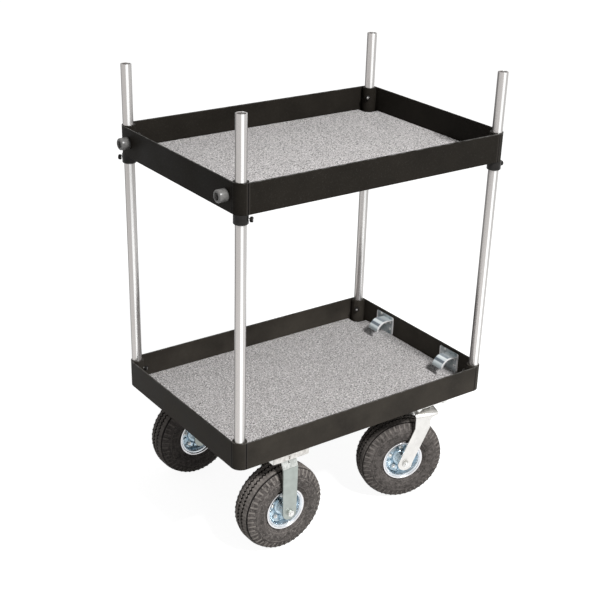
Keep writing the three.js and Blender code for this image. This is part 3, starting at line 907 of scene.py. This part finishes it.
# Carpet linings: a thick mat with notched, clipped corners
def carpet(z, body, node):
    low = z + SHEET + AIR
    x, y = CARPET_LENGTH / 2, CARPET_WIDTH / 2
    notch_x, notch_y = x - NOTCH, y - NOTCH
    piece = block((-x, -y, low), (x, y, low + CARPET))
    edit(piece)
    for sign in (-1, 1):
        bpy.ops.mesh.select_all(action="SELECT")
        bpy.ops.mesh.bisect(plane_co=(sign * notch_x, 0, 0), plane_no=(1, 0, 0))
        bpy.ops.mesh.select_all(action="SELECT")
        bpy.ops.mesh.bisect(plane_co=(0, sign * notch_y, 0), plane_no=(0, 1, 0))
    # The four corner squares go, and the open sides of the notches are filled
    choose_faces(piece, lambda middle, normal: (
        abs(middle.x) > notch_x + CLOSE and abs(middle.y) > notch_y + CLOSE))
    bpy.ops.mesh.delete(type="FACE")
    bpy.ops.mesh.select_all(action="SELECT")
    bpy.ops.mesh.delete_loose()
    for sign_x, sign_y in CORNERS.values():
        for on_side in notch_sides(sign_x, sign_y, notch_x, notch_y):
            choose_edges(piece, on_side)
            bpy.ops.mesh.edge_face_add()
    bpy.ops.mesh.select_all(action="SELECT")
    bpy.ops.mesh.normals_make_consistent(inside=False)
    bpy.ops.mesh.dissolve_limited(angle_limit=math.radians(1))
    choose_edges(piece, lambda a, b: (
        abs(a.z - b.z) > CARPET / 2 and near(abs(a.x), notch_x) and near(abs(a.y), notch_y)))
    bpy.ops.mesh.bevel(offset=CLIP, segments=1, affect="EDGES")
    object_mode()
    soften_edges(piece, width=0.0018, segments=3, angle=40)
    smooth(piece, angle=50)
    mat = finished(piece, node + "_pile", body, CARPET_PILE, (node,))


def notch_sides(sign_x, sign_y, notch_x, notch_y):
    """Two tests for the open edges of a notch: those along its first side and along its second."""
    def beside_x(a, b):
        on_line = near(sign_x * a.x, notch_x) and near(sign_x * b.x, notch_x)
        return on_line and min(sign_y * a.y, sign_y * b.y) > notch_y - CLOSE

    def beside_y(a, b):
        on_line = near(sign_y * a.y, notch_y) and near(sign_y * b.y, notch_y)
        return on_line and min(sign_x * a.x, sign_x * b.x) > notch_x - CLOSE

    return beside_x, beside_y


# Posts and collars
def post(corner):
    foot = LOWER_TRAY_Z + SHEET + AIR
    lip = 0.0008
    tube = turned([
        (POST_BORE, foot),
        (POST_RADIUS, foot),
        (POST_RADIUS, POST_TOP - lip),
        (POST_RADIUS - lip * 0.3, POST_TOP - lip * 0.3),
        (POST_RADIUS - lip, POST_TOP),
        (POST_BORE + lip, POST_TOP),
        (POST_BORE, POST_TOP - lip),
        (POST_BORE, foot),
    ], segments=64)
    smooth(tube, angle=40)
    place(tube, post_place(corner, 0))
    finished(tube, f"post_tube_{corner}", "base", ALUMINIUM, (f"post_{corner}",))


def collar(corner):
    low_chamfer = 0.0016
    top_chamfer = 0.0006
    bore = POST_RADIUS + AIR
    ring = turned([
        (bore, 0),
        (COLLAR_RADIUS - low_chamfer, 0),
        (COLLAR_RADIUS, low_chamfer),
        (COLLAR_RADIUS, COLLAR_HEIGHT - top_chamfer),
        (COLLAR_RADIUS - top_chamfer, COLLAR_HEIGHT),
        (bore, COLLAR_HEIGHT),
        (bore, 0),
    ], segments=56)
    smooth(ring, angle=30)
    place(ring, post_place(corner, COLLAR_TOP - COLLAR_HEIGHT))
    finished(ring, f"collar_ring_{corner}", "upper_shelf", BLACK_STEEL, (f"collar_{corner}",))


# Thumb screws: a bright shank and a knurled black head
def thumb_shank(reach):
    """The shank, from the post to just outside the head; reach is the outside of what it screws through."""
    tip = POST_RADIUS + AIR
    return turned([
        (SCREW_RADIUS - 0.0004, tip),
        (SCREW_RADIUS, tip + 0.0004),
        (SCREW_RADIUS, reach + 0.0109),
        (SCREW_RADIUS - 0.0005, reach + 0.0112),
    ], segments=20)


def thumb_head(reach):
    neck = reach + 0.003
    knurl_top = neck + 0.0068
    head = turned([
        (0.0045, neck),
        (SCREW_HEAD - 0.0009, neck + 0.0002),
        (SCREW_HEAD - 0.0004, neck + 0.0010),
        (SCREW_HEAD - 0.0004, neck + 0.0066),
        (SCREW_HEAD - 0.0014, neck + 0.0078),
        (0.0040, neck + 0.0080),
        (0.0034, neck + 0.0074),
    ], segments=KNURLS)

    # Every second facet of the band stands out as a knurl
    def on_knurl(middle, normal):
        on_band = abs(normal.z) < 0.2 and middle.z < knurl_top
        return on_band and int(angle_of(middle) / (360 / KNURLS)) % 2 == 0

    edit(head)
    choose_faces(head, on_knurl)
    bpy.ops.mesh.extrude_faces_move(
        MESH_OT_extrude_faces_indiv={}, TRANSFORM_OT_shrink_fatten={"value": 0.0004})
    object_mode()
    return head


def thumb_screw(node, at, angle, reach):
    """A screw that lies across its post at an angle; its body has the name of its solid."""
    turn = (0, math.pi / 2, angle)
    shank = thumb_shank(reach)
    smooth(shank, angle=40)
    place(shank, at, turn)
    finished(shank, node + "_shank", node, PLATED_STEEL)
    head = thumb_head(reach)
    smooth(head, angle=30)
    place(head, at, turn)
    finished(head, node + "_head", node, BLACK_STEEL, (node,))


def all_thumb_screws():
    for corner, (sign_x, sign_y) in CORNERS.items():
        inward = math.atan2(-sign_y, -sign_x)
        for level, tray_z in (("lower", LOWER_TRAY_Z), ("upper", UPPER_TRAY_Z)):
            at = post_place(corner, tray_z + SOCKET_SCREW_RISE)
            thumb_screw(f"{level}_socket_screw_{corner}", at, inward, SOCKET_RADIUS)
        at = post_place(corner, COLLAR_TOP - COLLAR_HEIGHT / 2)
        angle = math.radians(COLLAR_SCREW_ANGLES[corner])
        thumb_screw(f"collar_screw_{corner}", at, angle, COLLAR_RADIUS)


# Bumpers
def bumper(side):
    hole = SCREW_RADIUS + AIR
    recess = 0.0095
    recess_floor = 0.014
    pad = turned([
        (hole, 0),
        (BUMPER_RADIUS - 0.0004, 0),
        (BUMPER_RADIUS, 0.0006),
        (BUMPER_RADIUS, BUMPER_LENGTH - 0.004),
        (BUMPER_RADIUS - 0.0009, BUMPER_LENGTH - 0.0016),
        (BUMPER_RADIUS - 0.0032, BUMPER_LENGTH),
        (recess + 0.001, BUMPER_LENGTH),
        (recess, BUMPER_LENGTH - 0.001),
        (recess, recess_floor),
        (hole, recess_floor),
        (hole, 0),
    ], segments=56)
    smooth(pad, angle=50)
    place(pad, (-TRAY_LENGTH / 2 - AIR, SIDES[side] * BUMPER_Y, BUMPER_Z), (0, -math.pi / 2, 0))
    finished(pad, f"bumper_pad_{side}", "upper_shelf", BUMPER_RUBBER, (f"bumper_{side}",))
    node = f"bumper_screw_{side}"
    screw = copied_solid(node, width=0.0003)
    finished(screw, f"bumper_bolt_{side}", "upper_shelf", PLATED_STEEL, (node,))


# Hooded brackets with their screws
def pan_head(radius, height):
    return turned([
        (radius, 0),
        (radius, height * 0.35),
        (radius * 0.86, height * 0.8),
        (radius * 0.5, height),
    ], segments=24)


def bracket(side):
    plate = copied_solid(f"bracket_{side}", width=0.0005, angle=25)
    finished(plate, f"bracket_plate_{side}", "base", BRACKET_ZINC, (f"bracket_{side}",))
    # Each screw's place on the plate: across from its front edge, and up from its foot
    screw_places = ((0.012, 0.040), (0.012, 0.018), (0.034, 0.029), (0.056, 0.055), (0.070, 0.012))
    face = WALL_INSIDE - 0.003
    front_edge = SIDES[side] * BRACKET_Y - BRACKET_WIDTH / 2
    heads = []
    for across, up in screw_places:
        head = pan_head(radius=0.0042, height=0.0024)
        place(head, (face, front_edge + across, BRACKET_Z + up), (0, -math.pi / 2, 0))
        heads.append(head)
    screws = as_one(heads)
    smooth(screws, angle=50)
    finished(screws, f"bracket_screws_{side}", "base", PLATED_STEEL)


# Casters
def hanging_bolt():
    """A bolt's end with its washer and nut, under the top plate."""
    under = PLATE_TOP - PLATE
    washer = turned([
        (0.0080, under - 0.0018),
        (0.0084, under - 0.0014),
        (0.0084, under),
    ], segments=28)
    nut = turned([
        (0.0078, under - 0.0088),
        (0.0086, under - 0.0080),
        (0.0086, under - 0.0020),
        (0.0078, under - 0.0016),
    ], segments=6)
    shank = turned([
        (0.0038, under - 0.0128),
        (0.0048, under - 0.0116),
        (0.0048, under + 0.001),
    ], segments=20)
    return as_one([washer, nut, shank])


def caster_bolts(name, x, y):
    made = []
    for sign_x in (-1, 1):
        for sign_y in (-1, 1):
            bolt = hanging_bolt()
            # The nuts were left at uneven turns when they were tightened
            turn = math.radians(15 + 20 * sign_x + 10 * sign_y)
            place(bolt, (x + sign_x * BOLT_X, y + sign_y * BOLT_Y, 0), (0, 0, turn))
            made.append(bolt)
    bolts = as_one(made)
    smooth(bolts, angle=30)
    finished(bolts, name, "base", PLATED_STEEL)


def fixed_fork(side):
    """The fork's solid, with a slot punched in each plate edge and a hole in each shoulder."""
    slot_x, slot_z = -CASTER_X - 0.0065, 0.3045
    half_width, half_depth, half_height = 0.0023, 0.004, 0.0048
    hole_x, hole_z = slot_x + 0.004, 0.2840
    y = SIDES[side] * CASTER_Y
    piece = copied_solid(f"fixed_fork_{side}", width=0)
    for sign in (-1, 1):
        edge_y = y + sign * PLATE_EDGE_FACE
        slot = block((slot_x - half_width, edge_y - half_depth, slot_z - half_height),
                     (slot_x + half_width, edge_y + half_depth, slot_z + half_height))
        combine(piece, slot, "DIFFERENCE")
        hole = turned([(0.0042, -0.008), (0.0042, 0.008)], segments=3)
        place(hole, (hole_x, y + sign * SHOULDER_MIDDLE, hole_z), (-sign * math.pi / 2, 0, 0))
        combine(piece, hole, "DIFFERENCE")
    soften_edges(piece, width=0.0005, segments=2, angle=32)
    smooth(piece, angle=32)
    finished(piece, f"fixed_fork_{side}_plated", "base", FORK_ZINC, (f"fixed_fork_{side}",))


def plate_lips(name, y):
    """The short ends of the fixed plate are turned down too."""
    thickness = 0.0014
    half_width = 0.0515
    bottom = 0.2940
    top = PLATE_TOP - PLATE + 0.0004
    lips = []
    for sign in (-1, 1):
        outer = -CASTER_X + sign * PLATE_REACH
        inner = -CASTER_X + sign * (PLATE_REACH - thickness)
        low_x, high_x = sorted((outer, inner))
        lip = block((low_x, y - half_width, bottom), (high_x, y + half_width, top))
        soften_edges(lip, width=0.0005, segments=2, angle=40)
        lips.append(lip)
    lips = as_one(lips)
    smooth(lips, angle=40)
    finished(lips, name, "base", BRIGHT_ZINC)


def casters():
    for side, sign in SIDES.items():
        y = sign * CASTER_Y
        for node, look, slot, body in (
            (f"swivel_plate_{side}", BRIGHT_ZINC, "zinc", "base"),
            (f"swivel_pin_{side}", PLATED_STEEL, "bright_steel", "base"),
            (f"swivel_fork_{side}", BRIGHT_ZINC, "zinc", f"swivel_{side}"),
            (f"axle_fixed_{side}", PLATED_STEEL, "bright_steel", "base"),
            (f"axle_swivel_{side}", PLATED_STEEL, "bright_steel", f"swivel_{side}"),
        ):
            piece = copied_solid(node, width=0.0005)
            finished(piece, node + "_plated", body, look, (node,))
        caster_bolts(f"caster_bolts_fixed_{side}", -CASTER_X, y)
        caster_bolts(f"caster_bolts_swivel_{side}", CASTER_X, y)
        fixed_fork(side)
        plate_lips(f"plate_lips_{side}", y)
        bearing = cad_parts[f"swivel_bearing_{side}"]
        bearing.data.materials.clear()
        bearing.data.materials.append(PLATED_STEEL)


# Tyres: sidewall rings, shoulder lugs and zigzag grooves
def sidewall(radius):
    """Half width of the tyre at a radius: it swells from the bead to the belly and then draws in."""
    bead_radius, bead_half_width = 0.063, 0.0335
    belly_radius, belly_half_width = 0.086, 0.0433
    quarter = math.pi / 2
    if radius < belly_radius:
        share = (radius - bead_radius) / (belly_radius - bead_radius)
        return bead_half_width + (belly_half_width - bead_half_width) * math.sin(share * quarter)
    return belly_half_width - 0.0105 * (1 - math.cos((radius - belly_radius) / 0.032 * quarter))


def ridge_stations(ridge):
    """A narrow ring that stands out of the sidewall."""
    foot, crest, rise = 0.0010, 0.0004, 0.0007
    return [
        (ridge - foot, sidewall(ridge - foot)),
        (ridge - crest, sidewall(ridge) + rise),
        (ridge + crest, sidewall(ridge) + rise),
        (ridge + foot, sidewall(ridge + foot)),
    ]


def wall_stations(*radii):
    return [(radius, sidewall(radius)) for radius in radii]


def tread_radius(y):
    """The tread is 3 mm lower at its edges than in its middle."""
    return TYRE_RADIUS - 0.0030 * (y / 0.0240) ** 2


def tyre_profile():
    """Stations from the inner bead edge over one sidewall, across the tread and back inside."""
    bead = [(0.0513, 0.0265), (0.0513, 0.0330), (0.0630, 0.0332)]
    shoulder = [
        (0.1196, 0.0316), (0.1210, 0.0306), (0.1212, 0.0294), (0.1184, 0.0284),
        (0.1184, 0.0262), (0.1228, 0.0250), (0.1238, 0.0240),
    ]
    half = bead + wall_stations(0.0655, 0.0685, 0.0705)
    half += ridge_stations(0.073)
    half += wall_stations(0.077, 0.082, 0.087, 0.092)
    half += ridge_stations(0.097)
    half += wall_stations(0.1020, 0.1065, 0.1110, 0.1155, 0.1178)
    half += shoulder
    tread = []
    for middle in GROOVES:
        top = tread_radius(middle)
        tread += [
            (top, middle - GROOVE_WIDTH / 2),
            (top - GROOVE_DEPTH, middle - GROOVE_WIDTH / 3),
            (top - GROOVE_DEPTH, middle + GROOVE_WIDTH / 3),
            (top, middle + GROOVE_WIDTH / 2),
        ]
    inside = [(0.060, 0.0255), (0.095, 0.034), (0.116, 0.014)]
    loop = [(radius, -y) for radius, y in half]
    loop += tread
    loop += reversed(half)
    loop += inside
    loop += [(radius, -y) for radius, y in reversed(inside)]
    return loop + [loop[0]]


def tyre():
    tread_inside, zigzag_edge = 0.1205, 0.0185
    long_lug_start, short_lug_start, lug_end, lug_edge = 0.1035, 0.1075, 0.1209, 0.0290
    piece = turned(tyre_profile(), segments=TYRE_STEPS)
    step = 360 / TYRE_STEPS
    edit(piece)

    # Zigzag: every second row of tread points goes one way and the others the other way
    for parity, shift in ((0, ZIGZAG), (1, -ZIGZAG)):
        def on_row(point):
            on_tread = point.xy.length > tread_inside and abs(point.z) < zigzag_edge
            return on_tread and round(angle_of(point) / step) % TYRE_STEPS % 2 == parity

        choose_points(piece, on_row)
        bpy.ops.transform.translate(value=(0, 0, shift))

    # Shoulder lugs: one facet in three stands proud of the sidewall, and every second lug is shorter
    def on_lug(middle, normal):
        count = int(angle_of(middle) / step)
        lug_start = long_lug_start if count % 2 else short_lug_start
        on_shoulder = lug_start < middle.xy.length < lug_end and abs(middle.z) > lug_edge
        return on_shoulder and count % 3 == 0

    choose_faces(piece, on_lug)
    bpy.ops.mesh.extrude_region_shrink_fatten(TRANSFORM_OT_shrink_fatten={"value": LUG})
    object_mode()
    soften_edges(piece, width=0.0003, segments=1, angle=50)
    smooth(piece, angle=28)
    mark_relief(piece)
    return piece


def mark_relief(piece):
    """Note on each point how far it stands out: 0 in a groove, 0.5 on the wall, 1 on a lug or a land."""
    groove_edge, groove_inside = 0.0283, 0.117
    land_edge, land_inside = 0.0250, 0.121
    lugs_inside, lugs_outside, lug_rise = 0.102, 0.122, 0.0006
    ridges_inside, ridges_outside, ridge_rise = 0.070, 0.100, 0.0004
    relief = piece.data.attributes.new("relief", "FLOAT", "POINT")
    for point, mark in zip(piece.data.vertices, relief.data):
        radius, across = point.co.xy.length, abs(point.co.z)
        groove_outside = tread_radius(across) - GROOVE_DEPTH * 0.6
        mark.value = 0.5
        if across < groove_edge and groove_inside < radius < groove_outside:
            mark.value = 0.0
        elif across < land_edge and radius > land_inside:
            row = round(angle_of(point.co) * TYRE_STEPS / 360)
            mark.value = 1.0 if row % 2 else 0.75
        elif lugs_inside < radius < lugs_outside and across > sidewall(radius) + lug_rise:
            mark.value = 1.0
        elif ridges_inside < radius < ridges_outside and across > sidewall(radius) + ridge_rise:
            mark.value = 0.8


# Rims: rolled flange, deep well and a ribbed dish, with the bolts of the two halves
def rim_profile():
    """Stations from one face to the other, from the hub's bore out to the flange and back."""
    half = [
        (0.0510, 0.0335),
        (0.0610, 0.0335),
        (0.0612, 0.0350),
        (0.0608, 0.0366),
        (0.0596, 0.0373),
        (0.0578, 0.0371),
        (0.0562, 0.0360),
        (0.0550, 0.0340),
        (0.0505, 0.0326),
        (0.0490, 0.0300),
        (0.0482, 0.0240),
        (0.0468, 0.0175),
        (0.0425, 0.0140),
        (0.0385, 0.0125),
        (0.0300, 0.0125),
        (0.0270, 0.0140),
        (0.0245, 0.0190),
        (0.0225, 0.0205),
        (HUB_RADIUS + AIR, 0.0205),
    ]
    loop = [(radius, -y) for radius, y in reversed(half)] + half
    return loop + [loop[0]]


def rim():
    rib_inside, rib_outside, dish_depth = 0.0275, 0.0455, 0.024
    hollow_angle = 42
    rolled_edge, well = 0.0556, 0.0475
    piece = turned(rim_profile(), segments=72)
    edit(piece)

    # Pressed ribs run out across the dish on both faces
    def on_rib(middle, normal):
        on_dish = rib_inside < middle.xy.length < rib_outside and abs(middle.z) < dish_depth
        return on_dish and angle_of(middle) % (360 / RIM_RIBS) > hollow_angle

    choose_faces(piece, on_rib)
    bpy.ops.mesh.inset(thickness=0.0022)
    bpy.ops.transform.shrink_fatten(value=0.0055)
    object_mode()
    soften_edges(piece, width=0.0008, segments=2, angle=30)
    smooth(piece, angle=45)
    # The rolled edge is marked 1, the well 0.55 and the dish 0
    relief = piece.data.attributes.new("relief", "FLOAT", "POINT")
    for point, mark in zip(piece.data.vertices, relief.data):
        radius = point.co.xy.length
        mark.value = 1.0 if radius > rolled_edge else 0.55 if radius > well else 0.0
    return piece


def rim_bolts():
    """A bolt with a nut on both faces of the dish, between each two ribs."""
    made = []
    for count in range(RIM_RIBS):
        angle = math.radians(18 + 360 / RIM_RIBS * count)
        at = (RIM_BOLT_CIRCLE * math.cos(angle), RIM_BOLT_CIRCLE * math.sin(angle), 0)
        for turn in ((math.pi, 0, 0), (0, 0, 0)):
            nut = turned([
                (0.0058, 0.0125),
                (0.0063, 0.0130),
                (0.0063, 0.0172),
                (0.0056, 0.0178),
            ], segments=6)
            end = turned([
                (0.0034, 0.0150),
                (0.0034, 0.0205),
                (0.0028, 0.0212),
            ], segments=16)
            bolt = as_one([nut, end])
            place(bolt, at, turn)
            made.append(bolt)
    bolts = as_one(made)
    smooth(bolts, angle=30)
    return bolts


def valve():
    """Rubber stem with a narrower tip, out through the dish."""
    stem = turned([
        (0.0052, 0.010),
        (0.0048, 0.016),
        (0.0036, 0.022),
        (0.0034, 0.032),
        (0.0026, 0.0325),
        (0.0026, 0.0355),
        (0.0021, 0.0360),
    ], segments=20)
    place(stem, (0.030, 0.0234, 0))
    smooth(stem, angle=40)
    return stem


def hub():
    end = LEG_INNER - AIR
    chamfer = 0.001
    barrel = turned([
        (HUB_BORE, -end),
        (HUB_RADIUS - chamfer, -end),
        (HUB_RADIUS, -end + chamfer),
        (HUB_RADIUS, end - chamfer),
        (HUB_RADIUS - chamfer, end),
        (HUB_BORE, end),
        (HUB_BORE, -end),
    ], segments=40)
    smooth(barrel, angle=40)
    return barrel


def wheel_place(kind, sign):
    """Where a wheel's middle is, and how it stands up and turns."""
    if kind == "fixed":
        return (-CASTER_X, sign * CASTER_Y, TYRE_RADIUS), (math.pi / 2, 0, 0)
    back = Matrix.Rotation(SWIVEL_TURN, 3, "Z") @ Vector((-TRAIL, 0, 0))
    at = (CASTER_X + back.x, sign * CASTER_Y + back.y, TYRE_RADIUS)
    return at, (math.pi / 2, 0, SWIVEL_TURN)


def wheels():
    """One wheel is made lying on its side and then copied to the four axles."""
    models = {
        "tyre": (tyre(), "tyre", TYRE_RUBBER),
        "rim": (rim(), "zinc", RIM_ZINC),
        "hub": (hub(), "zinc", PLATED_STEEL),
        "rim_bolts": (rim_bolts(), "bright_steel", PLATED_STEEL),
        "valve": (valve(), "tyre", TYRE_RUBBER),
    }
    solids = ("tyre", "rim", "hub")
    for side, sign in SIDES.items():
        for kind in ("fixed", "swivel"):
            at, turn = wheel_place(kind, sign)
            for part, (model, slot, look) in models.items():
                # The front fixed wheel's tyre gets the painted lit copy
                if part == "tyre" and kind == "fixed" and side == "front":
                    look = LIT_DUSTY_TYRE_RUBBER
                piece = twin(model)
                place(piece, at, turn)
                node = f"{part}_{kind}_{side}"
                stands_for = (node,) if part in solids else ()
                finished(piece, f"wheel_{node}", f"wheel_{kind}_{side}", look, stands_for)
    for model, _, _ in models.values():
        bpy.data.objects.remove(model)


tray(LOWER_TRAY_Z, "base", "lower_tray", open_below=False, paint=LOWER_BLACK_POWDER)
tray(UPPER_TRAY_Z, "upper_shelf", "upper_tray", open_below=True, paint=UPPER_BLACK_POWDER)
carpet(LOWER_TRAY_Z, "base", "lower_carpet")
carpet(UPPER_TRAY_Z, "upper_shelf", "upper_carpet")
for corner_name in CORNERS:
    post(corner_name)
    collar(corner_name)
all_thumb_screws()
for side_name in SIDES:
    bumper(side_name)
    bracket(side_name)
casters()
wheels()


# Floor, light and camera
def seen_directly(tree):
    """1 for rays from the eye, a mirror or through glass, and 0 for rays that carry light."""
    rays = tree.nodes.new("ShaderNodeLightPath")
    seen = add_math(tree, "MAXIMUM", rays.outputs["Is Camera Ray"], rays.outputs["Is Glossy Ray"])
    return add_math(tree, "MAXIMUM", seen, rays.outputs["Is Transmission Ray"])


def floor():
    """A floor that looks white to the eye and in metal, and throws no extra light on the cart."""
    floor_dark = (0.45, 0.45, 0.45, 1)
    floor_light = (0.47, 0.47, 0.47, 1)
    glow = 0.92
    nothing_selected()
    bpy.ops.mesh.primitive_plane_add(size=80, location=(0, 0, -0.0005))
    ground = bpy.context.object
    ground.name = "studio_floor"
    settle(ground)
    look, tree, shader = new_look("Pale floor", roughness=0.9)
    patches = add_group(tree, PATCHES, object_place(tree), Scale=1.5)
    set_colour(tree, shader, add_mix(tree, patches, floor_dark, floor_light))
    set_specular(shader, 0.0)
    shader.inputs["Emission Color"].default_value = (1, 1, 1, 1)
    strength = add_math(tree, "MULTIPLY", seen_directly(tree), glow)
    tree.links.new(strength, shader.inputs["Emission Strength"])
    ground.data.materials.append(look)


def studio_world():
    """White where it is seen directly, and a weak fill on the cart."""
    fill = 0.23
    white = 1.0
    world = bpy.data.worlds.new("Studio")
    bpy.context.scene.world = world
    world.use_nodes = True
    tree = world.node_tree
    background = tree.nodes["Background"]
    background.inputs["Color"].default_value = (1, 1, 1, 1)
    strength = add_range(tree, seen_directly(tree), 0, 1, fill, white)
    tree.links.new(strength, background.inputs["Strength"])


def key_light():
    """One soft lamp, high and straight in front of the cart."""
    location = Vector((0.15, -3.3, 4.0))
    target = Vector((0, 0, 0.6))
    data = bpy.data.lights.new("key_light", "AREA")
    data.shape = "RECTANGLE"
    data.size = 0.7
    data.size_y = 0.7
    data.energy = 218
    lamp = bpy.data.objects.new("key_light", data)
    bpy.context.scene.collection.objects.link(lamp)
    lamp.location = location
    lamp.rotation_euler = (target - location).to_track_quat("-Z", "Y").to_euler()


def photo_camera():
    """Camera from the fit of the cart's lines to the photograph."""
    location = (-1.8392, -2.4907, 1.9697)
    right = Vector((0.8154, -0.5783, 0.0265))
    up = Vector((0.2358, 0.3735, 0.8972))
    back = right.cross(up)
    data = bpy.data.cameras.new("photo_camera")
    data.sensor_width = 36
    data.lens = 71.78
    data.shift_y = 0.075
    data.clip_end = 200
    camera = bpy.data.objects.new("photo_camera", data)
    bpy.context.scene.collection.objects.link(camera)
    camera.matrix_world = Matrix((*zip(right, up, back, location), (0, 0, 0, 1)))
    bpy.context.scene.camera = camera


floor()
studio_world()
key_light()
photo_camera()
bpy.context.scene.view_settings.view_transform = "Standard"
